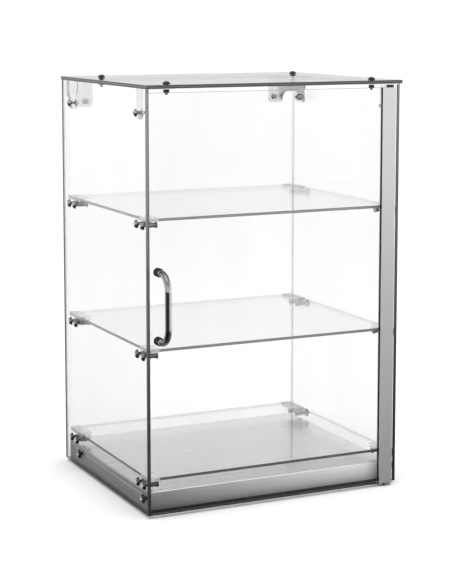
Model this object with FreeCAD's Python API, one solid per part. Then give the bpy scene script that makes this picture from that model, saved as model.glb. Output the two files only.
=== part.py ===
import FreeCAD, Part
import math
import os

from FreeCAD import Placement, Rotation, Vector

# Counter-top display case: clear sheets on a folded steel base, three fixed
# shelves, and a clear front door hung on a steel channel at its right edge.
# Millimetres. +Z is up, -Y is the front, where the door is, and +X is the hinge
# side. Each piece is drawn about the middle of the case's own footprint. export()
# then moves it back by ORIGIN_SHIFT, so that the origin is on the table under the
# middle of the whole object, handle and screw heads included.

# ---- driving dimensions ------------------------------------------------
CASE_WIDTH = 400.0            # over the outer faces of the side panels
CASE_DEPTH = 338.0            # door's front face to back panel's back face
CASE_HEIGHT = 602.0           # table to the top panel's upper face
SHEET = 5.0                   # clear panel thickness
SHELF_SHEET = 4.0             # clear shelf thickness
SHEET_BOTTOM = 4.0            # the side and back panels end here
TOP_OVERHANG = 1.0            # top panel past the side panels
TOP_LIP = 0.5                 # top panel past the door and the back panel
EDGE_CHAMFER = 0.4            # polished edges of the clear sheets

BASE_BOTTOM = 4.5             # underside of the steel base, on its feet
BASE_TOP = 34.0
BASE_SHEET = 1.5
BASE_FLANGE = 22.0            # return flange round the open underside
BASE_BEND = 1.3               # outer radius of the folded edges
BASE_FRONT = -156.5
BASE_NUT_GRIP = 6.5           # screw length past the sheets it clamps

SHELF_TOPS = {"lower": 53.5, "middle": 236.5, "upper": 419.0}
SHELF_FRONT = -155.6
SHELF_CORNER = 3.0
SHELF_SIDE_GAP = 1.1
SHELF_BACK_GAP = 1.9

CLIP_LIP = 0.8                # clear corner clip over and under the shelf
CLIP_WALL = 0.9
CLIP_WIDTH = 18.0
CLIP_LENGTH = {"front": 33.0, "rear": 53.0}

SUPPORT_Y = {"front": (-152.0, -130.0), "rear": (116.0, 138.0)}
SLEEVE_RADIUS = 3.3
SLEEVE_LENGTH = 13.5
SLEEVE_FLANGE_RADIUS = 4.5
SLEEVE_FLANGE = 1.5
SUPPORT_WASHER_RADIUS = 6.3
SUPPORT_WASHER = 1.0

DOOR_BOTTOM = 4.5
DOOR_TOP = 591.5
DOOR_GAP = 0.5                # between the door and the side panels' front edges
DOOR_OVERHANG = 1.0           # past the left side panel

POST_LEFT = 168.5             # steel channel that grips the door's right edge
POST_WIDTH = 22.0
POST_SHEET = 1.5
POST_GRIP = 7.5               # how far the door sheet enters the channel
POST_BEND = 1.2

PIVOT_X = 182.0
PIVOT_PIN_RADIUS = 1.5
PIVOT_PIN_CHAMFER = 0.4
RUNNING_CLEARANCE = 0.05
PIVOT_BLOCK_HEIGHT = 20.0
PIVOT_BLOCK_GAP = 0.3         # between a block and the door sheet
PIVOT_PIN_DEPTH = 13.5        # how far a pin stands in its block
UPPER_BUSH_RADIUS = 5.5
LOWER_BUSH_RADIUS = 5.0
BUSH_GAP = 0.3

HINGE_PLATE = 2.0             # plate under the base that carries the lower pin
HINGE_PLATE_TOP = 3.4
HINGE_PLATE_WIDTH = 15.0
HINGE_PLATE_SHIFT = 0.5       # plate's middle, outwards of the pivot
HINGE_PLATE_NOSE = 4.5        # plate past the pivot, towards the front
HINGE_PLATE_CORNER = 4.0
HINGE_SCREW_SPREAD = 4.5      # each screw from the plate's middle
HINGE_SCREW_LENGTH = 6.0

BRACKET_SHEET = 1.5
BRACKET_REACH = 44.8          # top flange, from the side panel inwards
BRACKET_LEG_BOTTOM = 554.0
BRACKET_BOLT_Z = 563.0
BRACKET_WEB_BOTTOM = 571.0    # rear brackets' webs, between their legs
FRONT_LEG_Y = (-140.0, -118.0)
REAR_SIDE_LEG_Y = (118.0, 151.0)
REAR_BACK_LEG_X = (152.0, 178.0)
REAR_BACK_BOLT_X = 163.0
LEG_CORNER = 8.0
WEB_CORNER = 6.0              # inside corners where a web meets a leg
WEB_SPREAD = 6.0              # rear side web past its leg, towards the front
FRONT_FLANGE_CORNER = 5.0
REAR_FLANGE_CORNER = 10.0
REAR_WEB_CORNER = 10.0
FRONT_FLANGE_INSET = 5.0      # from the side panels' front edges
HINGE_FLANGE_INSET = 0.5      # from the door's front face
REAR_FLANGE_AHEAD = 12.0      # flange past the top screw, towards the front
BRACKET_SCREW_LENGTH = 14.0

TOP_SCREW_X = 162.0
TOP_SCREW_Y = (-147.0, 98.0)
TOP_SCREW_LENGTH = 14.5
BASE_SCREW_Z = 24.5
BASE_SCREW_Y = (-148.0, 107.0)
BASE_BACK_SCREW_X = 140.0

HANDLE_X = -183.5
HANDLE_Z = 298.0
HANDLE_CENTRES = 96.0
HANDLE_RADIUS = 4.8
HANDLE_REACH = 31.0
HANDLE_BEND = 22.0
FERRULE_RADIUS = 6.2
FERRULE = 2.5
HANDLE_WASHER = 1.0
HANDLE_WASHER_RADIUS = 6.2

FOOT_RADIUS = 8.0
FOOT_TAPER = 1.5
FOOT_SIDE_INSET = 13.0        # a foot's middle, in from the base's side
FOOT_END_INSET = 34.0         # and from its front or back

# Screws: shank radius, head radius, head height, nut across flats, nut height.
M3 = (1.5, 3.0, 1.8, 5.5, 2.4)
M4 = (2.0, 5.6, 3.4, 8.5, 3.8)
M4_WIDE = (2.0, 5.2, 4.6, 8.0, 5.0)
M5 = (2.5, 6.8, 4.6, 9.5, 4.2)
HOLE_CLEARANCE = 0.15
THREAD_ENGAGE = 8.0           # screw length inside a sleeve or the handle
HEAD_RIM = 0.3                # straight part of a screw head, of its height
RECESS_ARM = 0.58             # cross recess, of the head's radius
RECESS_SLOT = 0.13
RECESS_DEPTH = 0.55           # of the head's height
SCREW_TIP = 0.25              # chamfer at a screw's end, of its radius
NUT_CHAMFER = 0.4

# ---- derived places ----------------------------------------------------
SIDE_OUTER = CASE_WIDTH / 2
SIDE_INNER = SIDE_OUTER - SHEET
DOOR_FRONT = -CASE_DEPTH / 2
DOOR_BACK = DOOR_FRONT + SHEET
SIDE_FRONT = DOOR_BACK + DOOR_GAP
BACK_OUTER = CASE_DEPTH / 2
BACK_INNER = BACK_OUTER - SHEET
TOP_UNDER = CASE_HEIGHT - SHEET
PIVOT_Y = (DOOR_FRONT + DOOR_BACK) / 2
POST_RIGHT = POST_LEFT + POST_WIDTH
SHELF_SIDE = SIDE_INNER - SHELF_SIDE_GAP
SHELF_BACK = BACK_INNER - SHELF_BACK_GAP
FLANGE_UNDER = TOP_UNDER - BRACKET_SHEET
FRONT_MOST = DOOR_FRONT - HANDLE_REACH - HANDLE_RADIUS
REAR_MOST = BACK_OUTER + M5[2]
ORIGIN_SHIFT = -(FRONT_MOST + REAR_MOST) / 2

X = Vector(1, 0, 0)
Y = Vector(0, 1, 0)
Z = Vector(0, 0, 1)
SIDES = {"left": -1, "right": 1}


# ---- helpers -----------------------------------------------------------
def box(x_range, y_range, z_range):
    """Block between two values on each axis, in either order."""
    low = Vector(min(x_range), min(y_range), min(z_range))
    high = Vector(max(x_range), max(y_range), max(z_range))
    size = high - low
    return Part.makeBox(size.x, size.y, size.z, low)


def rod(radius, start, direction, length):
    return Part.makeCylinder(radius, length, start, direction)


def ring(outer, inner, start, direction, length):
    return rod(outer, start, direction, length).cut(rod(inner, start, direction, length))


def placed(shape, point, direction):
    """Moves a shape built at the origin along +Z to a point and direction."""
    moved = shape.copy()
    moved.Placement = Placement(point, Rotation(Z, direction))
    return moved


def mirrored(shape):
    """The same shape on the other side of the case."""
    return shape.mirror(Vector(0, 0, 0), X)


def on_side(shape, sign):
    """A shape drawn for the left side, moved to the side that sign names."""
    return shape if sign < 0 else mirrored(shape)


def outline(corners):
    """Closed wire through 3-D corners (point, radius), rounded where the radius isn't 0."""
    edges = []
    entries = []
    for index, (corner, radius) in enumerate(corners):
        before = corners[index - 1][0]
        after = corners[(index + 1) % len(corners)][0]
        if radius == 0:
            entries.append((corner, corner, None))
            continue
        to_before = (before - corner).normalize()
        to_after = (after - corner).normalize()
        half_angle = to_before.getAngle(to_after) / 2
        reach = radius / math.tan(half_angle)
        middle = (to_before + to_after).normalize()
        depth = radius / math.sin(half_angle) - radius
        entries.append((corner + to_before * reach, corner + to_after * reach, corner + middle * depth))
    for index, (enter, leave, through) in enumerate(entries):
        if through is not None:
            edges.append(Part.Arc(enter, through, leave).toShape())
        next_enter = entries[(index + 1) % len(entries)][0]
        if leave.distanceToPoint(next_enter) > 1e-6:
            edges.append(Part.LineSegment(leave, next_enter).toShape())
    return Part.Wire(edges)


def plate(corners, thickness_vector):
    return Part.Face(outline(corners)).extrude(thickness_vector)


def clear_sheet(x_range, y_range, z_range, holes=()):
    sheet = box(x_range, y_range, z_range)
    sheet = sheet.makeChamfer(EDGE_CHAMFER, sheet.Edges)
    for hole in holes:
        sheet = sheet.cut(hole)
    return sheet


def hole(size, point, direction):
    """Cutter for a screw's clearance hole, long enough for any sheet here."""
    reach = 4 * SHEET
    return rod(size[0] + HOLE_CLEARANCE, point - direction * reach, direction, 2 * reach)


def screw(size, point, direction, length):
    """Pan head seated at point, with a cross recess; the shank runs along direction."""
    shank_radius, head_radius, head_height = size[:3]
    rim = HEAD_RIM * head_height
    dome = head_height - rim
    sphere_radius = (head_radius ** 2 + dome ** 2) / (2 * dome)
    head = rod(head_radius, Vector(0, 0, -head_height), Z, head_height)
    sphere = Part.makeSphere(sphere_radius, Vector(0, 0, sphere_radius - head_height))
    head = head.common(sphere)
    arm = RECESS_ARM * head_radius
    slot = RECESS_SLOT * head_radius
    recess = (-head_height, -head_height * (1 - RECESS_DEPTH))
    head = head.cut(box((-arm, arm), (-slot, slot), recess))
    head = head.cut(box((-slot, slot), (-arm, arm), recess))
    tip = SCREW_TIP * shank_radius
    shank = rod(shank_radius, Vector(0, 0, 0), Z, length - tip)
    end = Part.makeCone(shank_radius, shank_radius - tip, tip, Vector(0, 0, length - tip), Z)
    return placed(head.fuse(shank).fuse(end).removeSplitter(), point, direction)


def nut(size, point, direction):
    """Hexagon nut standing on point, with its corners turned off."""
    across_flats, height = size[3:]
    corner_radius = across_flats / math.sqrt(3)
    points = []
    for step in range(6):
        angle = math.radians(60 * step)
        points.append(Vector(corner_radius * math.cos(angle), corner_radius * math.sin(angle), 0))
    hexagon = Part.Face(Part.makePolygon(points + points[:1])).extrude(Z * height)
    end_radius = corner_radius - NUT_CHAMFER
    turned = Part.makeCone(end_radius + height, end_radius, height)
    body = hexagon.common(turned).cut(rod(size[0], Vector(0, 0, -1), Z, height + 2))
    return placed(body, point, direction)


def export(name, solids):
    shape = solids[0] if len(solids) == 1 else Part.makeCompound(solids)
    for solid in shape.Solids:
        if not solid.isValid():
            raise ValueError(name + " has a bad solid")
    shape = shape.translated(Vector(0, ORIGIN_SHIFT, 0))
    shape.exportStep("parts/" + name + ".step")


# ---- steel base --------------------------------------------------------
def base_holes(sign):
    return [hole(M5, Vector(sign * SIDE_OUTER, y, BASE_SCREW_Z), X) for y in BASE_SCREW_Y]


def back_base_holes():
    xs = (-BASE_BACK_SCREW_X, BASE_BACK_SCREW_X)
    return [hole(M5, Vector(x, BACK_OUTER, BASE_SCREW_Z), Y) for x in xs]


def hinge_screw_points():
    middle = PIVOT_X + HINGE_PLATE_SHIFT
    xs = (middle - HINGE_SCREW_SPREAD, middle + HINGE_SCREW_SPREAD)
    y = BASE_FRONT + BASE_FLANGE / 2
    return [Vector(x, y, BASE_BOTTOM - HINGE_PLATE) for x in xs]


def base_tray():
    tray = box((-SIDE_INNER, SIDE_INNER), (BASE_FRONT, BACK_INNER), (BASE_BOTTOM, BASE_TOP))
    folded = []
    for edge in tray.Edges:
        low = min(vertex.Z for vertex in edge.Vertexes)
        if edge.BoundBox.ZLength > 1 or low > BASE_BOTTOM + 1:
            folded.append(edge)
    tray = tray.makeFillet(BASE_BEND, folded)
    inner_x = SIDE_INNER - BASE_SHEET
    inner_y = (BASE_FRONT + BASE_SHEET, BACK_INNER - BASE_SHEET)
    inner_z = (BASE_BOTTOM + BASE_SHEET, BASE_TOP - BASE_SHEET)
    tray = tray.cut(box((-inner_x, inner_x), inner_y, inner_z))
    mouth_x = SIDE_INNER - BASE_FLANGE
    mouth_y = (BASE_FRONT + BASE_FLANGE, BACK_INNER - BASE_FLANGE)
    tray = tray.cut(box((-mouth_x, mouth_x), mouth_y, (0, inner_z[0])))
    for cutter in base_holes(-1) + base_holes(1) + back_base_holes():
        tray = tray.cut(cutter)
    for point in hinge_screw_points():
        tray = tray.cut(rod(M3[0], point, Z, HINGE_PLATE + 2 * BASE_SHEET))
    return tray


def feet():
    made = []
    side = SIDE_INNER - FOOT_SIDE_INSET
    for x in (-side, side):
        for y in (BASE_FRONT + FOOT_END_INSET, BACK_INNER - FOOT_END_INSET):
            place = Vector(x, y, 0)
            made.append(Part.makeCone(FOOT_RADIUS - FOOT_TAPER, FOOT_RADIUS, BASE_BOTTOM, place, Z))
    return made


def base_fasteners():
    screws = []
    nuts = []
    seats = []
    for sign in SIDES.values():
        for y in BASE_SCREW_Y:
            seats.append((Vector(sign * SIDE_OUTER, y, BASE_SCREW_Z), X * -sign))
    for x in (-BASE_BACK_SCREW_X, BASE_BACK_SCREW_X):
        seats.append((Vector(x, BACK_OUTER, BASE_SCREW_Z), Y * -1))
    clamped = SHEET + BASE_SHEET
    for point, inwards in seats:
        screws.append(screw(M5, point, inwards, clamped + BASE_NUT_GRIP))
        nuts.append(nut(M5, point + inwards * clamped, inwards))
    return screws, nuts


# ---- top corner brackets -----------------------------------------------
def front_bracket(flange_front):
    """Left front bracket: a flange under the top and one leg on the side panel."""
    outer = -SIDE_INNER
    low_y, high_y = FRONT_LEG_Y
    flange_x = (outer, outer + BRACKET_REACH)
    flange = plate([
        (Vector(flange_x[0], flange_front, FLANGE_UNDER), 0),
        (Vector(flange_x[1], flange_front, FLANGE_UNDER), FRONT_FLANGE_CORNER),
        (Vector(flange_x[1], high_y, FLANGE_UNDER), LEG_CORNER),
        (Vector(flange_x[0], high_y, FLANGE_UNDER), 0),
    ], Z * BRACKET_SHEET)
    leg = plate([
        (Vector(outer, low_y, TOP_UNDER), 0),
        (Vector(outer, high_y, TOP_UNDER), 0),
        (Vector(outer, high_y, BRACKET_LEG_BOTTOM), LEG_CORNER),
        (Vector(outer, low_y, BRACKET_LEG_BOTTOM), LEG_CORNER),
    ], X * BRACKET_SHEET)
    bolt_y = (low_y + high_y) / 2
    bracket = flange.fuse(leg).removeSplitter()
    bracket = bracket.cut(hole(M4, Vector(outer, bolt_y, BRACKET_BOLT_Z), X))
    return bracket.cut(hole(M4, Vector(-TOP_SCREW_X, TOP_SCREW_Y[0], TOP_UNDER), Z))


def hinge_bracket():
    """Right front bracket, whose flange runs on over the door's channel and holds the upper pin."""
    bracket = mirrored(front_bracket(DOOR_FRONT + HINGE_FLANGE_INSET))
    start = Vector(PIVOT_X, PIVOT_Y, FLANGE_UNDER - 1)
    return bracket.cut(rod(PIVOT_PIN_RADIUS, start, Z, BRACKET_SHEET + 2))


def rear_bracket():
    """Left rear bracket: a flange, and two webs round the corner that drop into rounded legs."""
    outer = -SIDE_INNER
    rear = BACK_INNER
    flange_front = TOP_SCREW_Y[1] - REAR_FLANGE_AHEAD
    flange = plate([
        (Vector(outer, rear, FLANGE_UNDER), 0),
        (Vector(outer, flange_front, FLANGE_UNDER), 0),
        (Vector(outer + BRACKET_REACH, flange_front, FLANGE_UNDER), REAR_FLANGE_CORNER),
        (Vector(outer + BRACKET_REACH, rear, FLANGE_UNDER), 0),
    ], Z * BRACKET_SHEET)
    low_y, high_y = REAR_SIDE_LEG_Y
    side_web = plate([
        (Vector(outer, low_y - WEB_SPREAD, TOP_UNDER), 0),
        (Vector(outer, rear, TOP_UNDER), 0),
        (Vector(outer, rear, BRACKET_WEB_BOTTOM), 0),
        (Vector(outer, high_y, BRACKET_WEB_BOTTOM), WEB_CORNER),
        (Vector(outer, high_y, BRACKET_LEG_BOTTOM), LEG_CORNER),
        (Vector(outer, low_y, BRACKET_LEG_BOTTOM), LEG_CORNER),
        (Vector(outer, low_y, BRACKET_WEB_BOTTOM + WEB_SPREAD), WEB_CORNER),
    ], X * BRACKET_SHEET)
    near_x, far_x = -REAR_BACK_LEG_X[1], -REAR_BACK_LEG_X[0]
    back_web = plate([
        (Vector(outer, rear, TOP_UNDER), 0),
        (Vector(far_x, rear, TOP_UNDER), 0),
        (Vector(far_x, rear, BRACKET_LEG_BOTTOM), LEG_CORNER),
        (Vector(near_x, rear, BRACKET_LEG_BOTTOM), WEB_CORNER),
        (Vector(near_x, rear, BRACKET_WEB_BOTTOM), REAR_WEB_CORNER),
        (Vector(outer, rear, BRACKET_WEB_BOTTOM), 0),
    ], Y * -BRACKET_SHEET)
    bracket = flange.fuse(side_web).fuse(back_web).removeSplitter()
    side_bolt_y = sum(REAR_SIDE_LEG_Y) / 2
    bracket = bracket.cut(hole(M4, Vector(outer, side_bolt_y, BRACKET_BOLT_Z), X))
    bracket = bracket.cut(hole(M4, Vector(-REAR_BACK_BOLT_X, rear, BRACKET_BOLT_Z), Y))
    return bracket.cut(hole(M4, Vector(-TOP_SCREW_X, TOP_SCREW_Y[1], TOP_UNDER), Z))


def bracket_seats():
    """Where the bracket bolts' heads sit on the panels, and the way they point."""
    seats = []
    for sign in SIDES.values():
        for leg in (FRONT_LEG_Y, REAR_SIDE_LEG_Y):
            seats.append((Vector(sign * SIDE_OUTER, sum(leg) / 2, BRACKET_BOLT_Z), X * -sign))
        seats.append((Vector(sign * REAR_BACK_BOLT_X, BACK_OUTER, BRACKET_BOLT_Z), Y * -1))
    return seats


def bracket_fasteners():
    screws = []
    nuts = []
    for point, inwards in bracket_seats():
        screws.append(screw(M4, point, inwards, BRACKET_SCREW_LENGTH))
        nuts.append(nut(M4, point + inwards * (SHEET + BRACKET_SHEET), inwards))
    return screws, nuts


def top_seats():
    xs = (-TOP_SCREW_X, TOP_SCREW_X)
    return [Vector(x, y, CASE_HEIGHT) for x in xs for y in TOP_SCREW_Y]


def top_fasteners():
    down = Z * -1
    screws = [screw(M4_WIDE, point, down, TOP_SCREW_LENGTH) for point in top_seats()]
    nuts = [nut(M4_WIDE, point + down * (SHEET + BRACKET_SHEET), down) for point in top_seats()]
    return screws, nuts


# ---- shelves -----------------------------------------------------------
def support_z(level):
    """Height of a shelf's support screws, whose sleeves hold up the corner clips."""
    return SHELF_TOPS[level] - SHELF_SHEET - CLIP_LIP - SLEEVE_FLANGE_RADIUS


def support_seats(sign, level):
    seats = []
    for ys in SUPPORT_Y.values():
        for y in ys:
            seats.append(Vector(sign * SIDE_OUTER, y, support_z(level)))
    return seats


def shelf(level):
    top = SHELF_TOPS[level]
    made = box((-SHELF_SIDE, SHELF_SIDE), (SHELF_FRONT, SHELF_BACK), (top - SHELF_SHEET, top))
    upright = [edge for edge in made.Edges if edge.BoundBox.ZLength > 1]
    made = made.makeFillet(SHELF_CORNER, upright)
    return made.makeChamfer(EDGE_CHAMFER, [e for e in made.Edges if e.BoundBox.ZLength < 0.01])


def clip(level, end):
    """Left clip: a clear cap over the shelf's corner, hollowed to the shelf's own shape."""
    top = SHELF_TOPS[level]
    outer_x = -(SHELF_SIDE + CLIP_WALL)
    if end == "front":
        near = SHELF_FRONT - CLIP_WALL
        y_range = (near, near + CLIP_LENGTH[end])
    else:
        far = SHELF_BACK + CLIP_WALL
        y_range = (far - CLIP_LENGTH[end], far)
    z_range = (top - SHELF_SHEET - CLIP_LIP, top + CLIP_LIP)
    block = box((outer_x, outer_x + CLIP_WIDTH), y_range, z_range)
    upright = [edge for edge in block.Edges if edge.BoundBox.ZLength > 1]
    block = block.makeFillet(SHELF_CORNER, upright)
    room = box((-SHELF_SIDE, 0), (SHELF_FRONT, SHELF_BACK), (top - SHELF_SHEET, top))
    upright = [edge for edge in room.Edges if edge.BoundBox.ZLength > 1 and edge.BoundBox.XMax < -1]
    return block.cut(room.makeFillet(SHELF_CORNER, upright))


def sleeve(point, inwards):
    """Flanged sleeve nut on a support screw; the shelf's clip rests on its flange."""
    body = rod(SLEEVE_RADIUS, Vector(0, 0, 0), Z, SLEEVE_LENGTH)
    flange = rod(SLEEVE_FLANGE_RADIUS, Vector(0, 0, SLEEVE_LENGTH), Z, SLEEVE_FLANGE)
    made = body.fuse(flange).removeSplitter()
    made = made.cut(rod(M4[0], Vector(0, 0, 0), Z, THREAD_ENGAGE + 1))
    return placed(made, point + inwards * SHEET, inwards)


def shelf_supports(level):
    """Screws, washers, sleeves and clips of one shelf, on both sides."""
    screws = []
    washers = []
    sleeves = []
    clips = []
    bore = M4[0] + HOLE_CLEARANCE
    for sign in SIDES.values():
        inwards = X * -sign
        for point in support_seats(sign, level):
            washers.append(ring(SUPPORT_WASHER_RADIUS, bore, point, X * sign, SUPPORT_WASHER))
            seat = point - inwards * SUPPORT_WASHER
            screws.append(screw(M4, seat, inwards, SUPPORT_WASHER + SHEET + THREAD_ENGAGE))
            sleeves.append(sleeve(point, inwards))
        for end in CLIP_LENGTH:
            clips.append(on_side(clip(level, end), sign))
    return {"screws": screws, "washers": washers, "sleeves": sleeves, "clips": clips}


# ---- clear panels ------------------------------------------------------
def side_panel(sign):
    holes = base_holes(sign)
    for level in SHELF_TOPS:
        for point in support_seats(sign, level):
            holes.append(hole(M4, point, X))
    for leg in (FRONT_LEG_Y, REAR_SIDE_LEG_Y):
        holes.append(hole(M4, Vector(sign * SIDE_OUTER, sum(leg) / 2, BRACKET_BOLT_Z), X))
    x_range = (sign * SIDE_INNER, sign * SIDE_OUTER)
    return clear_sheet(x_range, (SIDE_FRONT, BACK_INNER), (SHEET_BOTTOM, TOP_UNDER), holes)


def back_panel():
    holes = back_base_holes()
    for sign in SIDES.values():
        holes.append(hole(M4, Vector(sign * REAR_BACK_BOLT_X, BACK_OUTER, BRACKET_BOLT_Z), Y))
    x_range = (-SIDE_OUTER, SIDE_OUTER)
    return clear_sheet(x_range, (BACK_INNER, BACK_OUTER), (SHEET_BOTTOM, TOP_UNDER), holes)


def top_panel():
    half = SIDE_OUTER + TOP_OVERHANG
    holes = [hole(M4_WIDE, point, Z) for point in top_seats()]
    y_range = (DOOR_FRONT - TOP_LIP, BACK_OUTER + TOP_LIP)
    return clear_sheet((-half, half), y_range, (TOP_UNDER, CASE_HEIGHT), holes)


# ---- door --------------------------------------------------------------
def handle_feet():
    half = HANDLE_CENTRES / 2
    return [Vector(HANDLE_X, DOOR_FRONT, HANDLE_Z + offset) for offset in (-half, half)]


def door_panel():
    x_range = (-SIDE_OUTER - DOOR_OVERHANG, POST_LEFT + POST_GRIP)
    holes = [hole(M4, foot, Y) for foot in handle_feet()]
    return clear_sheet(x_range, (DOOR_FRONT, DOOR_BACK), (DOOR_BOTTOM, DOOR_TOP), holes)


def hinge_post():
    """U channel, open towards the door sheet."""
    y_range = (DOOR_FRONT - POST_SHEET, DOOR_BACK + POST_SHEET)
    post = box((POST_LEFT, POST_RIGHT), y_range, (DOOR_BOTTOM, DOOR_TOP))
    folded = [e for e in post.Edges if e.BoundBox.ZLength > 1 and e.BoundBox.XMin > POST_RIGHT - 1]
    post = post.makeFillet(POST_BEND, folded)
    groove = (POST_LEFT - 1, POST_RIGHT - POST_SHEET)
    return post.cut(box(groove, (DOOR_FRONT, DOOR_BACK), (DOOR_BOTTOM - 1, DOOR_TOP + 1)))


def pivot_block(bottom, mouth, bore_direction):
    """Block that fills the channel's end; its bore opens at the mouth."""
    x_range = (POST_LEFT + POST_GRIP + PIVOT_BLOCK_GAP, POST_RIGHT - POST_SHEET)
    block = box(x_range, (DOOR_FRONT, DOOR_BACK), (bottom, bottom + PIVOT_BLOCK_HEIGHT))
    start = Vector(PIVOT_X, PIVOT_Y, mouth)
    bore = PIVOT_PIN_RADIUS + RUNNING_CLEARANCE
    return block.cut(rod(bore, start, bore_direction, PIVOT_PIN_DEPTH + 1))


def pivot_pin(outer_end, inner_end):
    low = min(outer_end, inner_end)
    length = abs(outer_end - inner_end)
    pin = rod(PIVOT_PIN_RADIUS, Vector(PIVOT_X, PIVOT_Y, low), Z, length)
    level = [edge for edge in pin.Edges if edge.BoundBox.ZLength < 0.01]
    tip = [edge for edge in level if abs(edge.BoundBox.ZMin - inner_end) < 0.01]
    return pin.makeChamfer(PIVOT_PIN_CHAMFER, tip)


def pivot_bush(radius, bottom, height):
    inner = PIVOT_PIN_RADIUS + RUNNING_CLEARANCE
    return ring(radius, inner, Vector(PIVOT_X, PIVOT_Y, bottom), Z, height)


def hinge_plate():
    """Joggled plate: under the base's front flange, then forward under the channel."""
    left = PIVOT_X + HINGE_PLATE_SHIFT - HINGE_PLATE_WIDTH / 2
    right = left + HINGE_PLATE_WIDTH
    low = HINGE_PLATE_TOP - HINGE_PLATE
    front = PIVOT_Y - HINGE_PLATE_NOSE
    step_back = BASE_FRONT + HINGE_PLATE
    forward = plate([
        (Vector(left, front, low), HINGE_PLATE_CORNER),
        (Vector(right, front, low), HINGE_PLATE_CORNER),
        (Vector(right, step_back, low), 0),
        (Vector(left, step_back, low), 0),
    ], Z * HINGE_PLATE)
    riser = box((left, right), (BASE_FRONT, step_back), (low, BASE_BOTTOM))
    tail_y = (BASE_FRONT, BASE_FRONT + BASE_FLANGE - 2)
    tail = box((left, right), tail_y, (BASE_BOTTOM - HINGE_PLATE, BASE_BOTTOM))
    made = forward.fuse(riser).fuse(tail).removeSplitter()
    made = made.cut(rod(PIVOT_PIN_RADIUS, Vector(PIVOT_X, PIVOT_Y, low - 1), Z, HINGE_PLATE + 2))
    for point in hinge_screw_points():
        made = made.cut(hole(M3, point, Z))
    return made


def handle():
    """Round bow handle: two feet on the door, joined by bends to an upright bar."""
    low_foot, high_foot = handle_feet()
    grip_y = DOOR_FRONT - HANDLE_REACH
    bend_start = grip_y + HANDLE_BEND
    corner = HANDLE_BEND * (1 - math.sqrt(0.5))
    low_arc = (
        Vector(HANDLE_X, bend_start, low_foot.z),
        Vector(HANDLE_X, grip_y + corner, low_foot.z + corner),
        Vector(HANDLE_X, grip_y, low_foot.z + HANDLE_BEND),
    )
    high_arc = (
        Vector(HANDLE_X, grip_y, high_foot.z - HANDLE_BEND),
        Vector(HANDLE_X, grip_y + corner, high_foot.z - corner),
        Vector(HANDLE_X, bend_start, high_foot.z),
    )
    path = Part.Wire([
        Part.LineSegment(low_foot, low_arc[0]).toShape(),
        Part.Arc(*low_arc).toShape(),
        Part.LineSegment(low_arc[2], high_arc[0]).toShape(),
        Part.Arc(*high_arc).toShape(),
        Part.LineSegment(high_arc[2], high_foot).toShape(),
    ])
    profile = Part.Wire(Part.Circle(low_foot, Y, HANDLE_RADIUS).toShape())
    bar = path.makePipeShell([profile], True, False)
    for foot in (low_foot, high_foot):
        bar = bar.cut(rod(M4[0], foot, Y * -1, THREAD_ENGAGE + 1))
    return bar


def handle_fasteners():
    screws = []
    washers = []
    ferrules = []
    bore = M4[0] + HOLE_CLEARANCE
    length = HANDLE_WASHER + SHEET + THREAD_ENGAGE
    for foot in handle_feet():
        inside = Vector(foot.x, DOOR_BACK, foot.z)
        washers.append(ring(HANDLE_WASHER_RADIUS, bore, inside, Y, HANDLE_WASHER))
        screws.append(screw(M4, inside + Y * HANDLE_WASHER, Y * -1, length))
        ferrules.append(ring(FERRULE_RADIUS, HANDLE_RADIUS, foot, Y * -1, FERRULE))
    return screws, washers, ferrules


# ---- write every piece -------------------------------------------------
def main():
    os.makedirs("parts", exist_ok=True)

    export("base_tray", [base_tray()])
    export("feet", feet())
    base_screws, base_nuts = base_fasteners()
    export("base_screws", base_screws)
    export("base_nuts", base_nuts)

    export("left_side_panel", [side_panel(-1)])
    export("right_side_panel", [side_panel(1)])
    export("back_panel", [back_panel()])
    export("top_panel", [top_panel()])

    export("front_left_bracket", [front_bracket(SIDE_FRONT + FRONT_FLANGE_INSET)])
    export("front_right_hinge_bracket", [hinge_bracket()])
    for name, sign in SIDES.items():
        export("rear_" + name + "_bracket", [on_side(rear_bracket(), sign)])
    bracket_screws, bracket_nuts = bracket_fasteners()
    export("bracket_screws", bracket_screws)
    export("bracket_nuts", bracket_nuts)
    top_screws, top_nuts = top_fasteners()
    export("top_screws", top_screws)
    export("top_nuts", top_nuts)

    for level in SHELF_TOPS:
        export(level + "_shelf", [shelf(level)])
        for kind, solids in shelf_supports(level).items():
            export(level + "_shelf_" + kind, solids)

    hinge_plate_bottom = HINGE_PLATE_TOP - HINGE_PLATE
    export("lower_hinge_plate", [hinge_plate()])
    hinge_screws = [screw(M3, point, Z, HINGE_SCREW_LENGTH) for point in hinge_screw_points()]
    export("hinge_plate_screws", hinge_screws)
    export("upper_pivot_pin", [pivot_pin(TOP_UNDER, DOOR_TOP - PIVOT_PIN_DEPTH)])
    export("lower_pivot_pin", [pivot_pin(hinge_plate_bottom, DOOR_BOTTOM + PIVOT_PIN_DEPTH)])

    export("door_panel", [door_panel()])
    export("hinge_post", [hinge_post()])
    export("upper_pivot_block", [pivot_block(DOOR_TOP - PIVOT_BLOCK_HEIGHT, DOOR_TOP, Z * -1)])
    export("lower_pivot_block", [pivot_block(DOOR_BOTTOM, DOOR_BOTTOM, Z)])
    upper_bush_height = FLANGE_UNDER - DOOR_TOP - BUSH_GAP
    export("upper_pivot_bush", [pivot_bush(UPPER_BUSH_RADIUS, DOOR_TOP, upper_bush_height)])
    lower_bush_bottom = HINGE_PLATE_TOP + RUNNING_CLEARANCE
    lower_bush_height = DOOR_BOTTOM - lower_bush_bottom
    export("lower_pivot_bush", [pivot_bush(LOWER_BUSH_RADIUS, lower_bush_bottom, lower_bush_height)])
    export("door_handle", [handle()])
    handle_screws, handle_washers, ferrules = handle_fasteners()
    export("handle_screws", handle_screws)
    export("handle_washers", handle_washers)
    export("handle_ferrules", ferrules)


main()
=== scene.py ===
import math

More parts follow.
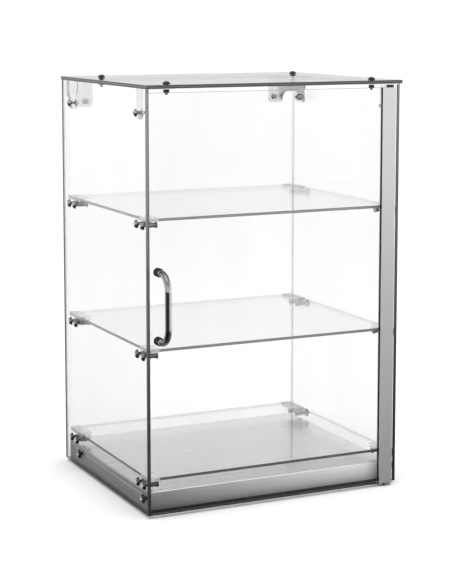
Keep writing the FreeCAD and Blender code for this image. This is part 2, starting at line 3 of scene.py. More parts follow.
import bpy
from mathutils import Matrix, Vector


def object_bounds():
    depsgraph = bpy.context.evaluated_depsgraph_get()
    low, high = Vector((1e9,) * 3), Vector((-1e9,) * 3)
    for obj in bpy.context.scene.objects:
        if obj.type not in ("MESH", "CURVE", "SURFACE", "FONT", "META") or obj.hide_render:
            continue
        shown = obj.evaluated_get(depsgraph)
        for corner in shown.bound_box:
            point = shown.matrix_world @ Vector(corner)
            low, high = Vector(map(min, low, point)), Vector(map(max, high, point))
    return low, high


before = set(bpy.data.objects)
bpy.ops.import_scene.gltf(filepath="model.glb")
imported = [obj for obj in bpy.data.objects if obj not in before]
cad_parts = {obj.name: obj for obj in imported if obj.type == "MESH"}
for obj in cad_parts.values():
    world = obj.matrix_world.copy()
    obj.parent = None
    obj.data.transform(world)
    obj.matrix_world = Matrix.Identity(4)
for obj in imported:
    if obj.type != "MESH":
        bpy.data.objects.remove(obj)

# Looks for the tabletop display case. Every solid keeps its imported shape. This
# script gives each one its finish, gives the clear sheets' edges and the screw
# recesses a finish of their own, and sets up the stage, lights and camera. Several
# finishes carry painted light and shade, each noted where it is set: painted
# highlights on the sheets' edges and the base's front bend, painted glints in the
# screw recesses, and painted shade and light that follow height, place along X and facing.
# Lengths are in metres and angles in degrees. Front is -Y and the hinge is at +X.

CAD_LOW, CAD_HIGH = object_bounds()
X, Y, Z = range(3)
SHELF_LEVELS = ("lower", "middle", "upper")

# ---- camera ------------------------------------------------------------
CAMERA_AZIMUTH = -25.46
CAMERA_ELEVATION = 7.05
CAMERA_PLACE = (-1.046, -2.1776, 0.704)
FOCAL_PIXELS = 1628.0
IMAGE_LONG_SIDE = 584
SENSOR_MM = 36.0
SHIFT_Y = -0.14

# ---- studio ------------------------------------------------------------
BACKDROP_LIGHT = 1.2
STUDIO_LIGHT = 1.4
STUDIO_BY_HEIGHT = [      # straight down to straight up, against the brightest wall
    (0.0, 0.04),
    (0.30, 0.12),
    (0.362, 0.32),
    (0.4175, 0.62),
    (0.476, 0.95),
    (0.5, 0.8),
    (0.522, 0.5),
    (0.553, 0.75),
    (0.63, 0.82),
    (0.72, 0.45),
    (0.85, 0.4),
    (1.0, 0.7),
]
DARK_SIDE = (-0.755, -0.656, 0.0)
STUDIO_DARK_HALF = [(0.5, 1.0), (0.587, 0.9), (0.655, 0.45), (0.8, 0.1), (1.0, 0.03)]
DARK_FROM = (-0.05, -0.13)    # the dark half lies below the horizon: starts, and is full
FLOOR_RADIUS = 200.0
FLOOR_COLOUR = (0.9, 0.9, 0.9, 1)
TRANSPARENT_BOUNCES = 48

# ---- clear sheets and clips --------------------------------------------
ACRYLIC_IOR = 1.49
ACRYLIC_TINT = (0.93, 0.94, 0.94, 1)
CASE_TOP = max(vertex.co.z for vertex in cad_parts["top_panel"].data.vertices)
MIRROR_FACE_ON = 0.02
MIRROR_GLANCING = 0.9
MIRROR_POWER = 5.0
WIPE_SCALE = 9.0
WIPE_STRETCH = (1, 1, 0.35)
WIPE_RANGE = (0.35, 0.75)
WIPE_ROUGHNESS = (0.012, 0.05)
WIPE_CLEARNESS = [(0.3, 0.985), (0.8, 0.965)]
# Edges: share of the case's height, and grey. The grey is painted light: it darkens towards the
# table.
SIDE_EDGE = [(0.0, 0.024), (0.12, 0.032), (0.3, 0.055), (0.5, 0.11), (0.75, 0.2), (1.0, 0.28)]
# Painted shade: the right side panel's edges are darker than the left's.
RIGHT_SIDE_PAINTED_SHADE = 0.6
BACK_EDGE = [(0.0, 0.05), (0.5, 0.04), (1.0, 0.1)]
TOP_EDGE = [(0.0, 0.068), (1.0, 0.072)]
SHELF_EDGE = [(0.08, 0.1), (0.4, 0.24), (0.7, 0.27)]
# Painted highlight: each sheet edge has a bright middle line, with darker shoulders and rims.
EDGE_RIM = 0.75               # brightness at the two rims of an edge
EDGE_SHOULDER = 0.9           # brightness on both sides of its bright middle line
EDGE_ROUGHNESS = (0.14, 0.3)
EDGE_FROM_INSIDE = 0.7        # how far an edge clears when it is seen through its own sheet
STREAK_SCALE = 22.0
STREAK_STRETCH = 30
# Painted shade: a dark line on the butt ends at the case's left rim.
BUTT_PAINTED_SHADE_ACROSS = [(-0.2, 0.05), (-0.1976, 0.05), (-0.1974, 1.0)]    # place along X, clearness
CLIP_ROUGHNESS = (0.12, 0.3)
CLIP_MILKINESS = (0.3, 0.42)

# ---- metals and plastics -----------------------------------------------
NOISE_RANGE = (0.3, 0.7)      # nearly all of a noise's values lie in here
GRAIN_RANGE = (0.25, 0.75)
GRAIN_SCALE = 9.0
GRAIN_ALONG_X = (0.3, 150, 150)
GRAIN_ALONG_Y = (150, 0.3, 150)
GRAIN_ALONG_Z = (150, 150, 0.3)
GRAIN_EVEN = (90, 90, 90)
# Heights with a brightness, all painted shade: the folded base is near black along its lower rim
# and darker towards the floor.
TRAY_PAINTED_SHADE = [(0.0054, 0.08), (0.0062, 0.55), (0.02, 0.85), (0.03, 1.0)]
TRAY_SIDE_PAINTED_SHADE = [(0.0056, 0.05), (0.0066, 0.8), (0.033, 1.0)]
TRAY_FRONT_PAINTED_SHADE = [(0.0078, 0.02), (0.0088, 0.38), (0.018, 0.72), (0.031, 1.0)]
# Painted light: the base's front brightens towards the right.
TRAY_FRONT_PAINTED_LIGHT_ACROSS = [(-0.19, 0.32), (0.0, 0.72), (0.14, 1.0)]    # place along X, brightness
TRAY_DULL_METALLIC = 0.5
# The bend's low metallic lets its near-white grey show as a painted highlight.
TRAY_BEND_METALLIC = 0.3
TRAY_BEND = 0.0015            # how far the upper front bend reaches in from the corner
# Painted shade: the rear right bracket is dark along the top of its upright faces.
BRACKET_PAINTED_SHADE = [(0.589, 1.0), (0.591, 0.12)]                    # height, brightness
# The recess's low metallic lets its near-white grey show as a painted glint.
RECESS_METALLIC = 0.2
# Painted shade: the shelf supports are darker low down and lighter higher up.
NICKEL_PAINTED_SHADE_BY_HEIGHT = [(0.1, 0.4), (0.4, 1.0)]
# Painted shade: the handle's chrome is darker on faces that look up.
CHROME_PAINTED_SHADE_BY_FACING = [(0.0, 1.0), (0.08, 0.55), (0.4, 0.5), (0.7, 0.32), (1.0, 0.3)]
MACHINED_SCALE = 500.0
POLISHED_SCALE = 300.0

# ---- telling faces apart -----------------------------------------------
FLAT_FACE = 0.9               # a normal this close to an axis belongs to a flat face
ALONG_X = 0.7                 # a normal this close to X takes the grain of the side faces
SLOPES = 0.1                  # the bend's normal leans at least this far both ways
UPRIGHT = 0.5                 # an upright face's normal rises less than this
RECESS_REACH = 0.62           # share of a screw head's radius that its recess takes up
RECESS_DEPTH = 0.003
RECESS_FLOOR_DEPTH = 0.0008   # the recess's floor lies below this
RECESS_FLOOR = 0.99           # its normal is this close to the screw's axis
RECESS_WALL = 0.1             # and a recess wall's normal is this far across it
HEAD_WIDE = 0.8               # only a screw's head reaches past this share of its radius
HEAD_OFF_MIDDLE = 0.001       # and it lies further than this from the screw's middle
FACE_SLOT, EDGE_SLOT, BUTT_SLOT, LOWER_EDGE_SLOT = range(4)
TRAY_SLOT, TRAY_FRONT_SLOT, TRAY_BEND_SLOT, TRAY_SIDE_SLOT = range(4)

# The Mix node has its own sockets for each kind of data, so they go by number.
MIX_SHARE = 0
MIX_VALUES = (2, 3)
MIX_COLOURS = (6, 7)
MIX_VALUE_RESULT = 0
MIX_COLOUR_RESULT = 2


# ---- node helpers ------------------------------------------------------
def start_material(name):
    """A new material with an empty node tree."""
    material = bpy.data.materials.new(name)
    material.use_nodes = True
    material.node_tree.nodes.clear()
    return material


def finish_material(material, shader):
    """Links the shader to the material's output."""
    add(material.node_tree, "ShaderNodeOutputMaterial", {"Surface": shader})
    return material


def add(tree, kind, inputs=None, **settings):
    """Adds a node and its settings. Each input, by name or number, takes a plain value
    or another node's output."""
    made = tree.nodes.new(kind)
    for key, value in settings.items():
        setattr(made, key, value)
    for key, value in (inputs or {}).items():
        if isinstance(value, bpy.types.NodeSocket):
            tree.links.new(value, made.inputs[key])
        else:
            made.inputs[key].default_value = value
    return made


def mapped(tree, source, from_range, to_range):
    """Scales a value from one range to another, and keeps it inside."""
    made = add(tree, "ShaderNodeMapRange", {
        "Value": source,
        "From Min": from_range[0],
        "From Max": from_range[1],
        "To Min": to_range[0],
        "To Max": to_range[1],
    })
    return made.outputs["Result"]


def ramp(tree, source, stops):
    """Ramp of greys over a value from 0 to 1: stops are (position, grey)."""
    made = add(tree, "ShaderNodeValToRGB", {"Fac": source})
    elements = made.color_ramp.elements
    while len(elements) < len(stops):
        elements.new(0.5)
    for element, (position, grey) in zip(elements, stops):
        element.position = position
        element.color = (grey, grey, grey, 1)
    return made.outputs["Color"]


def graded(tree, source, stops):
    """Ramp of greys over a value in any unit: stops are (value, grey). The whole ramp is
    spread over the stops, because it is only read in 256 steps."""
    low, high = stops[0][0], stops[-1][0]
    share = mapped(tree, source, (low, high), (0, 1))
    return ramp(tree, share, [((value - low) / (high - low), grey) for value, grey in stops])


def uneven(tree, source, low, high):
    """A grey that goes from low to high over a noise's usual range."""
    return ramp(tree, source, [(NOISE_RANGE[0], low), (NOISE_RANGE[1], high)])


def product(tree, first, second, share=1.0):
    """Two colours multiplied; the second counts by share."""
    made = add(tree, "ShaderNodeMix", {
        MIX_SHARE: share,
        MIX_COLOURS[0]: first,
        MIX_COLOURS[1]: second,
    }, data_type="RGBA", blend_type="MULTIPLY")
    return made.outputs[MIX_COLOUR_RESULT]


def between(tree, share, first, second):
    """A value that goes from the first to the second as share goes from 0 to 1."""
    made = add(tree, "ShaderNodeMix", {
        MIX_SHARE: share,
        MIX_VALUES[0]: first,
        MIX_VALUES[1]: second,
    }, data_type="FLOAT")
    return made.outputs[MIX_VALUE_RESULT]


def shader_mix(tree, share, first, second):
    """A shader that goes from the first to the second as share goes from 0 to 1."""
    made = add(tree, "ShaderNodeMixShader", {"Fac": share, 1: first, 2: second})
    return made.outputs["Shader"]


def noise(tree, scale, stretch=(1, 1, 1), detail=3.0, roughness=0.5):
    """Noise value over the object; stretch lays it out as streaks."""
    coordinates = add(tree, "ShaderNodeTexCoord")
    place = add(tree, "ShaderNodeMapping", {
        "Vector": coordinates.outputs["Object"],
        "Scale": stretch,
    })
    made = add(tree, "ShaderNodeTexNoise", {
        "Vector": place.outputs["Vector"],
        "Scale": scale,
        "Detail": detail,
        "Roughness": roughness,
    })
    return made.outputs["Fac"]


def surface_axis(tree, axis, output="Object"):
    """One axis of the place in the case, of the surface's normal (output Normal), or of
    the share of the piece's own size (output Generated)."""
    coordinates = add(tree, "ShaderNodeTexCoord")
    parts = add(tree, "ShaderNodeSeparateXYZ", {"Vector": coordinates.outputs[output]})
    return parts.outputs[axis]


def facing_x(tree):
    """1 on faces that look along X, 0 on the others."""
    size = add(tree, "ShaderNodeMath", {0: surface_axis(tree, "X", "Normal")}, operation="ABSOLUTE")
    over = add(tree, "ShaderNodeMath", {0: size.outputs[0], 1: ALONG_X}, operation="GREATER_THAN")
    return over.outputs[0]


def bump(tree, source, distance, strength):
    """A normal that follows a noise."""
    made = add(tree, "ShaderNodeBump", {
        "Height": source,
        "Distance": distance,
        "Strength": strength,
    })
    return made.outputs["Normal"]


# ---- clear materials ---------------------------------------------------
def mirror_share(tree):
    """How much a clear face mirrors: little face on, more at a glancing angle, the same
    from both sides of the sheet."""
    angle = add(tree, "ShaderNodeLayerWeight", {"Blend": 0.5})
    steep = add(tree, "ShaderNodeMath", {0: angle.outputs["Facing"], 1: MIRROR_POWER},
                operation="POWER")
    return mapped(tree, steep.outputs[0], (0, 1), (MIRROR_FACE_ON, MIRROR_GLANCING))


def clear_face(name):
    """Polished acrylic: lets everything through, mirrors by angle, with faint wipe marks."""
    material = start_material(name)
    tree = material.node_tree
    marks = noise(tree, WIPE_SCALE, WIPE_STRETCH, detail=5.0, roughness=0.6)
    mirror = add(tree, "ShaderNodeBsdfPrincipled", {
        "Base Color": ACRYLIC_TINT,
        "Metallic": 1.0,
        "Roughness": mapped(tree, marks, WIPE_RANGE, WIPE_ROUGHNESS),
    })
    passed = add(tree, "ShaderNodeBsdfTransparent", {"Color": ramp(tree, marks, WIPE_CLEARNESS)})
    share = mirror_share(tree)
    shader = shader_mix(tree, share, passed.outputs["BSDF"], mirror.outputs["BSDF"])
    return finish_material(material, shader)


def clear_edge(name, axis, stops, middle):
    """Polished edge of a sheet, coloured with painted light. Light is piped up the sheet,
    so it darkens towards the table, as stops list. axis runs across the edge, whose middle
    line has the brightness middle, a painted highlight, where its two rims are darker."""
    material = start_material(name)
    tree = material.node_tree
    height = mapped(tree, surface_axis(tree, "Z"), (0.0, CASE_TOP), (0, 1))
    by_height = ramp(tree, height, stops)
    across = ramp(tree, surface_axis(tree, axis, "Generated"), [
        (0.1, EDGE_RIM),
        (0.38, EDGE_SHOULDER),
        (0.5, middle),
        (0.62, EDGE_SHOULDER),
        (0.9, EDGE_RIM),
    ])
    stretch = [STREAK_STRETCH if letter == axis else 1 for letter in "XYZ"]
    streaks = noise(tree, STREAK_SCALE, stretch, detail=4.0)
    smooth = product(tree, by_height, across)
    body = add(tree, "ShaderNodeBsdfPrincipled", {
        "Base Color": product(tree, smooth, uneven(tree, streaks, low=0.82, high=1.15)),
        "Roughness": mapped(tree, streaks, NOISE_RANGE, EDGE_ROUGHNESS),
        "IOR": ACRYLIC_IOR,
        "Specular IOR Level": 0.2,
    })
    passed = add(tree, "ShaderNodeBsdfTransparent")
    geometry = add(tree, "ShaderNodeNewGeometry")
    from_inside = mapped(tree, geometry.outputs["Backfacing"], (0, 1), (0, EDGE_FROM_INSIDE))
    shader = shader_mix(tree, from_inside, body.outputs["BSDF"], passed.outputs["BSDF"])
    return finish_material(material, shader)


def clear_butt(name):
    """The end of a sheet pressed on another: clear, but with a painted shade line at the case's
    left rim.
    """
    material = start_material(name)
    tree = material.node_tree
    clear = uneven(tree, noise(tree, scale=35.0), low=0.86, high=0.96)
    # The painted shade line at the case's left rim.
    line = graded(tree, surface_axis(tree, "X"), BUTT_PAINTED_SHADE_ACROSS)
    passed = add(tree, "ShaderNodeBsdfTransparent", {"Color": product(tree, clear, line)})
    return finish_material(material, passed.outputs["BSDF"])


def clear_clip(name):
    """Moulded clear clip: milky where light gathers in it, glossy outside."""
    material = start_material(name)
    tree = material.node_tree
    cloud = noise(tree, scale=60.0)
    body = add(tree, "ShaderNodeBsdfPrincipled", {
        "Base Color": uneven(tree, cloud, low=0.72, high=0.92),
        "Roughness": mapped(tree, cloud, NOISE_RANGE, CLIP_ROUGHNESS),
        "Normal": bump(tree, cloud, distance=0.0002, strength=0.4),
        "IOR": ACRYLIC_IOR,
        "Coat Weight": 0.5,
        "Coat Roughness": 0.1,
    })
    passed = add(tree, "ShaderNodeBsdfTransparent", {"Color": ACRYLIC_TINT})
    milky = mapped(tree, cloud, NOISE_RANGE, CLIP_MILKINESS)
    shader = shader_mix(tree, milky, passed.outputs["BSDF"], body.outputs["BSDF"])
    return finish_material(material, shader)


# ---- metals and plastics -----------------------------------------------
def brushed_steel(name, grey, stretch, roughness, side_stretch=None, shade=None, across=None,
                  metallic=1.0):
    """Stainless sheet with a fine brushed grain along the axis that stretch leaves long,
    or side_stretch on faces that look along X. shade and across list (height or place
    along X, brightness), for painted shade and painted light."""
    material = start_material(name)
    tree = material.node_tree
    grain = noise(tree, GRAIN_SCALE, stretch, detail=4.0, roughness=0.6)
    if side_stretch:
        side_grain = noise(tree, GRAIN_SCALE, side_stretch, detail=4.0, roughness=0.6)
        grain = between(tree, facing_x(tree), grain, side_grain)
    cloud = noise(tree, scale=5.0, detail=2.0)
    tone = uneven(tree, grain, low=grey * 0.97, high=grey * 1.03)
    tone = product(tree, tone, uneven(tree, cloud, low=0.97, high=1.02))
    if shade:
        tone = product(tree, tone, graded(tree, surface_axis(tree, "Z"), shade))
    if across:
        tone = product(tree, tone, graded(tree, surface_axis(tree, "X"), across))
    shader = add(tree, "ShaderNodeBsdfPrincipled", {
        "Base Color": tone,
        "Metallic": metallic,
        "Roughness": mapped(tree, grain, GRAIN_RANGE, (roughness * 0.9, roughness * 1.12)),
        "Normal": bump(tree, grain, distance=0.00002, strength=0.12),
    })
    return finish_material(material, shader.outputs["BSDF"])


def turned_metal(name, grey, roughness, mark_scale=MACHINED_SCALE, by_facing=None,
                 by_height=None, metallic=1.0):
    """Machined or plated metal: small tool marks and a slightly uneven shine. by_facing
    lists (how far a face looks up, brightness), where 1 is straight up, and by_height
    lists (height, brightness); both are painted shade."""
    material = start_material(name)
    tree = material.node_tree
    marks = noise(tree, mark_scale, detail=5.0, roughness=0.6)
    cloud = noise(tree, scale=40.0, detail=2.0)
    tone = uneven(tree, cloud, low=grey * 0.9, high=grey * 1.06)
    if by_facing:
        tone = product(tree, tone, graded(tree, surface_axis(tree, "Z", "Normal"), by_facing))
    if by_height:
        tone = product(tree, tone, graded(tree, surface_axis(tree, "Z"), by_height))
    shader = add(tree, "ShaderNodeBsdfPrincipled", {
        "Base Color": tone,
        "Metallic": metallic,
        "Roughness": mapped(tree, marks, NOISE_RANGE, (roughness * 0.7, roughness * 1.4)),
        "Normal": bump(tree, marks, distance=0.00003, strength=0.4),
    })
    return finish_material(material, shader.outputs["BSDF"])


def dark_plastic(name, grey, roughness, coat):
    """Black moulded or coated surface with a fine grain and slightly rubbed tone."""
    material = start_material(name)
    tree = material.node_tree
    grain = noise(tree, scale=900.0, detail=4.0)
    cloud = noise(tree, scale=55.0, detail=2.0)
    shader = add(tree, "ShaderNodeBsdfPrincipled", {
        "Base Color": uneven(tree, cloud, low=grey * 0.7, high=grey * 1.5),
        "Roughness": mapped(tree, grain, NOISE_RANGE, (roughness * 0.8, roughness * 1.3)),
        "Normal": bump(tree, grain, distance=0.00008, strength=0.4),
        "Specular IOR Level": 0.3,
        "Coat Weight": coat,
        "Coat Roughness": 0.12,
    })
    return finish_material(material, shader.outputs["BSDF"])


# ---- giving nodes their finish -----------------------------------------
def dress(node, *materials):
    """Puts materials in a node's slots, in order."""
    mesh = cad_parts[node].data
    mesh.materials.clear()
    for material in materials:
        mesh.materials.append(material)
    return mesh


def dress_sheet(node, thin_axis, finishes, edge, butts=()):
    """Broad faces get the clear finish, and the narrow ones round them the edge finish.
    An end that butts on another sheet along a positive axis in butts only shows a faint
    line, and the lower edge of an upright sheet is painted near black as painted shade."""
    face, butt, lower_edge = finishes
    mesh = dress(node, face, edge, butt, lower_edge)
    for polygon in mesh.polygons:
        if abs(polygon.normal[thin_axis]) > FLAT_FACE:
            polygon.material_index = FACE_SLOT
        elif any(polygon.normal[axis] > FLAT_FACE for axis in butts):
            polygon.material_index = BUTT_SLOT
        elif thin_axis != Z and polygon.normal.z < -FLAT_FACE:
            polygon.material_index = LOWER_EDGE_SLOT
        else:
            polygon.material_index = EDGE_SLOT


def dress_sheets():
    """The four panels, the door and the shelves."""
    butt = clear_butt("acrylic_butt_end")
    # The lower edges of upright sheets are painted near black: painted shade.
    lower_edge = dark_plastic("acrylic_lower_edge_painted_shade", grey=0.008, roughness=0.25, coat=0.0)
    finishes = (clear_face("acrylic_face"), butt, lower_edge)
    right_stops = [(height, RIGHT_SIDE_PAINTED_SHADE * grey) for height, grey in SIDE_EDGE]
    # middle is the brightness of each edge's painted highlight line.
    left_edge = clear_edge("acrylic_left_edge", "X", SIDE_EDGE, middle=1.4)
    right_edge = clear_edge("acrylic_right_edge", "X", right_stops, middle=1.4)
    front_edge = clear_edge("acrylic_front_edge", "Y", SIDE_EDGE, middle=1.3)
    back_edge = clear_edge("acrylic_back_edge", "Y", BACK_EDGE, middle=1.3)
    top_edge = clear_edge("acrylic_top_edge", "Z", TOP_EDGE, middle=2.4)
    shelf_edge = clear_edge("acrylic_shelf_edge", "Z", SHELF_EDGE, middle=1.3)
    dress_sheet("left_side_panel", X, finishes, left_edge, (Y, Z))
    dress_sheet("right_side_panel", X, finishes, right_edge, (Y, Z))
    dress_sheet("back_panel", Y, finishes, back_edge, (Z,))
    dress_sheet("door_panel", Y, finishes, front_edge)
    dress_sheet("top_panel", Z, finishes, top_edge)
    for level in SHELF_LEVELS:
        dress_sheet(level + "_shelf", Z, finishes, shelf_edge)


def dress_tray():
    """The base's front and left side are duller than the rest. The front carries painted
    light that brightens towards the right, the left side is painted darker as painted
    shade, and its upper front bend has a painted highlight."""
    # The base's steel has painted shade along its lower rim.
    steel = brushed_steel("tray_steel", grey=0.7, stretch=GRAIN_ALONG_X, roughness=0.26,
                          side_stretch=GRAIN_ALONG_Y, shade=TRAY_PAINTED_SHADE)
    # The front: painted light across it and painted shade towards the floor.
    front = brushed_steel("tray_front_steel_painted_light", grey=0.98, stretch=GRAIN_ALONG_X, roughness=0.48,
                          shade=TRAY_FRONT_PAINTED_SHADE, across=TRAY_FRONT_PAINTED_LIGHT_ACROSS,
                          metallic=TRAY_DULL_METALLIC)
    # The upper front bend: a painted highlight.
    bend = brushed_steel("tray_bend_painted_highlight", grey=0.97, stretch=GRAIN_ALONG_X, roughness=0.3,
                         metallic=TRAY_BEND_METALLIC)
    # The left side: a darker grey as painted shade.
    side = brushed_steel("tray_side_steel_painted_shade", grey=0.36, stretch=GRAIN_ALONG_Y, roughness=0.48,
                         shade=TRAY_SIDE_PAINTED_SHADE, metallic=TRAY_DULL_METALLIC)
    mesh = dress("base_tray", steel, front, bend, side)
    front_y = min(vertex.co.y for vertex in mesh.vertices)
    top_z = max(vertex.co.z for vertex in mesh.vertices)
    for polygon in mesh.polygons:
        polygon.material_index = tray_slot(polygon, front_y, top_z)


def tray_slot(polygon, front_y, top_z):
    """Which of the base's finishes a polygon gets."""
    middle = polygon.center
    near_bend = middle.y < front_y + TRAY_BEND and middle.z > top_z - TRAY_BEND
    if polygon.normal.y < -FLAT_FACE:
        return TRAY_FRONT_SLOT
    if polygon.normal.x < -FLAT_FACE:
        return TRAY_SIDE_SLOT
    if near_bend and polygon.normal.z > SLOPES and polygon.normal.y < -SLOPES:
        return TRAY_BEND_SLOT
    return TRAY_SLOT


def dress_hinge_and_brackets():
    """The hinge post, and the brackets. The rear right one has painted shade along the top of its
    upright faces.
    """
    dress("hinge_post", brushed_steel("post_steel", grey=0.68, stretch=GRAIN_ALONG_Z,
                                      roughness=0.22))
    steel = brushed_steel("bracket_steel", grey=0.72, stretch=GRAIN_EVEN, roughness=0.16)
    shaded = brushed_steel("bracket_steel_painted_shade", grey=0.72, stretch=GRAIN_EVEN,
                           roughness=0.16, shade=BRACKET_PAINTED_SHADE)
    for node in (
        "front_left_bracket",
        "front_right_hinge_bracket",
        "rear_left_bracket",
        "lower_hinge_plate",
    ):
        dress(node, steel)
    # Upright faces of the rear right bracket take the painted shade.
    mesh = dress("rear_right_bracket", steel, shaded)
    for polygon in mesh.polygons:
        polygon.material_index = 1 if abs(polygon.normal.z) < UPRIGHT else 0


def loose_parts(mesh):
    """Lists of polygons that hang together, one list per solid."""
    parent = {}

    def root(vertex):
        while parent[vertex] != vertex:
            parent[vertex] = parent[parent[vertex]]
            vertex = parent[vertex]
        return vertex

    keys = [tuple(round(value, 6) for value in vertex.co) for vertex in mesh.vertices]
    for key in keys:
        parent[key] = key
    for polygon in mesh.polygons:
        first = root(keys[polygon.vertices[0]])
        for vertex in polygon.vertices[1:]:
            parent[root(keys[vertex])] = first
    groups = {}
    for polygon in mesh.polygons:
        groups.setdefault(root(keys[polygon.vertices[0]]), []).append(polygon)
    return list(groups.values())


def head_side(points, middle, axis, across):
    """True if the wide end of a screw lies towards the high end of its axis."""
    for point in points:
        offset = point - middle
        along = offset[axis]
        offset[axis] = 0
        if offset.length > HEAD_WIDE * across and abs(along) > HEAD_OFF_MIDDLE:
            return along > 0
    return True


def dress_screws(node, outside, recess):
    """Screws whose cross recess is painted near white, a painted glint in the darker head."""
    mesh = dress(node, outside, recess)
    for group in loose_parts(mesh):
        points = [mesh.vertices[v].co for polygon in group for v in polygon.vertices]
        low = Vector(min(point[i] for point in points) for i in range(3))
        high = Vector(max(point[i] for point in points) for i in range(3))
        middle = (low + high) / 2
        size = high - low
        across = sorted(size)[1] / 2
        axis = max(range(3), key=lambda i: size[i])
        head_end = high[axis] if head_side(points, middle, axis, across) else low[axis]
        for polygon in group:
            offset = polygon.center - middle
            offset[axis] = 0
            depth = abs(polygon.center[axis] - head_end)
            along = abs(polygon.normal[axis])
            floor = along > RECESS_FLOOR and depth > RECESS_FLOOR_DEPTH
            wall = along < RECESS_WALL
            inside = offset.length < across * RECESS_REACH and depth < RECESS_DEPTH
            polygon.material_index = 1 if inside and (floor or wall) else 0


def dress_hardware():
    """Screws, nuts, washers, pins, sleeves, clips and the handle."""
    plated = turned_metal("plated_steel", grey=0.5, roughness=0.16)
    # The screw recesses are painted near white: a painted glint.
    bright = turned_metal("recess_painted_glint", grey=0.9, roughness=0.3, metallic=RECESS_METALLIC)
    # The shelf supports' nickel carries painted shade by height.
    nickel = turned_metal("dark_nickel", grey=0.36, roughness=0.09, by_height=NICKEL_PAINTED_SHADE_BY_HEIGHT)
    # The handle's chrome carries painted shade on faces that look up.
    chrome = turned_metal("polished_chrome", grey=0.72, roughness=0.05,
                          mark_scale=POLISHED_SCALE, by_facing=CHROME_PAINTED_SHADE_BY_FACING)
    black = dark_plastic("black_coating", grey=0.01, roughness=0.3, coat=0.15)
    clip = clear_clip("clip_plastic")
    for level in SHELF_LEVELS:
        dress_screws(level + "_shelf_screws", nickel, bright)
        dress(level + "_shelf_washers", nickel)
        dress(level + "_shelf_sleeves", nickel)
        dress(level + "_shelf_clips", clip)
    for node in (
        "bracket_screws",
        "bracket_nuts",
        "base_nuts",
        "hinge_plate_screws",
        "upper_pivot_pin",
        "lower_pivot_pin",
        "handle_screws",
    ):
        dress(node, plated)
    dress("door_handle", chrome)
    dress_screws("base_screws", black, bright)
    dress_screws("top_screws", black, bright)
    dress("top_nuts", black)


def dress_plastics():
    """The hinge's blocks and bushes, the handle's washers and ferrules, and the feet."""
    nylon = dark_plastic("black_nylon", grey=0.02, roughness=0.42, coat=0.1)
    for node in (
        "upper_pivot_block",
        "lower_pivot_block",
        "upper_pivot_bush",
        "lower_pivot_bush",
        "handle_washers",
        "handle_ferrules",
    ):
        dress(node, nylon)
    dress("feet", dark_plastic("foot_rubber", grey=0.015, roughness=0.7, coat=0.0))


# ---- stage, lights and camera ------------------------------------------
def make_floor():
    """A pale matt floor that mirrors don't see."""
    bpy.ops.mesh.primitive_circle_add(vertices=96, radius=FLOOR_RADIUS, fill_type="NGON")
    floor = bpy.context.object
    floor.name = "floor"
    material = start_material("floor_paint")
    shader = add(material.node_tree, "ShaderNodeBsdfDiffuse", {"Color": FLOOR_COLOUR})
    floor.data.materials.append(finish_material(material, shader.outputs["BSDF"]))
    floor.visible_glossy = False


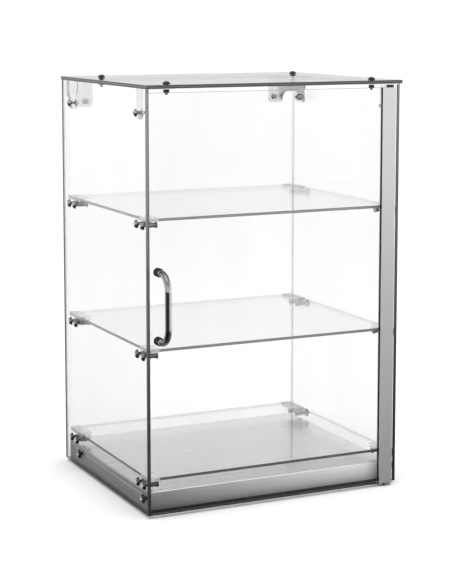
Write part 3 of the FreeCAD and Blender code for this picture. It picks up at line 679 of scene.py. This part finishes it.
def make_world():
    """White to the eye and to matt surfaces. Mirrors see a studio: bright walls, a dim
    floor, and a dark half behind the spot where the case is looked at from."""
    world = bpy.data.worlds.new("studio")
    bpy.context.scene.world = world
    world.use_nodes = True
    tree = world.node_tree
    tree.nodes.clear()
    direction = add(tree, "ShaderNodeTexCoord").outputs["Generated"]
    rise = add(tree, "ShaderNodeSeparateXYZ", {"Vector": direction}).outputs["Z"]
    walls = ramp(tree, mapped(tree, rise, (-1, 1), (0, 1)), STUDIO_BY_HEIGHT)
    towards_dark = add(tree, "ShaderNodeVectorMath", {0: direction, 1: DARK_SIDE},
                       operation="DOT_PRODUCT")
    turned_away = mapped(tree, towards_dark.outputs["Value"], (-1, 1), (0, 1))
    dark_half = ramp(tree, turned_away, STUDIO_DARK_HALF)
    low_down = mapped(tree, rise, DARK_FROM, (0, 1))
    studio = add(tree, "ShaderNodeBackground", {
        "Color": product(tree, walls, dark_half, low_down),
        "Strength": STUDIO_LIGHT,
    })
    white = add(tree, "ShaderNodeBackground", {"Color": (1, 1, 1, 1), "Strength": BACKDROP_LIGHT})
    glossy = add(tree, "ShaderNodeLightPath").outputs["Is Glossy Ray"]
    seen = shader_mix(tree, glossy, white.outputs["Background"], studio.outputs["Background"])
    add(tree, "ShaderNodeOutputWorld", {"Surface": seen})


def make_lamp(name, place, aim, size, power):
    """A soft rectangular lamp at place that looks at aim; size is its width and height."""
    data = bpy.data.lights.new(name, "AREA")
    data.shape = "RECTANGLE"
    data.size, data.size_y = size
    data.energy = power
    lamp = bpy.data.objects.new(name, data)
    bpy.context.scene.collection.objects.link(lamp)
    lamp.location = place
    lamp.rotation_mode = "QUATERNION"
    lamp.rotation_quaternion = (Vector(aim) - Vector(place)).to_track_quat("-Z", "Y")


def make_lamps():
    """A large lamp overhead and a narrow one at the right."""
    aim = (CAD_LOW + CAD_HIGH) / 2
    make_lamp("overhead_softbox", place=(-0.4, -0.6, 2.6), aim=aim, size=(2.4, 2.0), power=12.0)
    make_lamp("right_strip", place=(2.2, -0.9, 0.9), aim=aim, size=(0.3, 1.8), power=8.0)


def make_camera():
    """The camera at the photograph's viewing angle."""
    data = bpy.data.cameras.new("camera")
    data.sensor_width = SENSOR_MM
    data.lens = FOCAL_PIXELS / IMAGE_LONG_SIDE * SENSOR_MM
    data.shift_y = SHIFT_Y
    camera = bpy.data.objects.new("camera", data)
    bpy.context.scene.collection.objects.link(camera)
    bpy.context.scene.camera = camera
    azimuth = math.radians(CAMERA_AZIMUTH)
    elevation = math.radians(CAMERA_ELEVATION)
    back = Vector((
        math.sin(azimuth) * math.cos(elevation),
        -math.cos(azimuth) * math.cos(elevation),
        math.sin(elevation),
    ))
    camera.location = CAMERA_PLACE
    camera.rotation_mode = "QUATERNION"
    camera.rotation_quaternion = (-back).to_track_quat("-Z", "Y")


def set_picture():
    """Plain colours, and enough bounces to see through all the sheets."""
    scene = bpy.context.scene
    scene.view_settings.view_transform = "Standard"
    scene.view_settings.look = "None"
    scene.cycles.transparent_max_bounces = TRANSPARENT_BOUNCES


dress_sheets()
dress_tray()
dress_hinge_and_brackets()
dress_hardware()
dress_plastics()
make_floor()
make_world()
make_lamps()
make_camera()
set_picture()
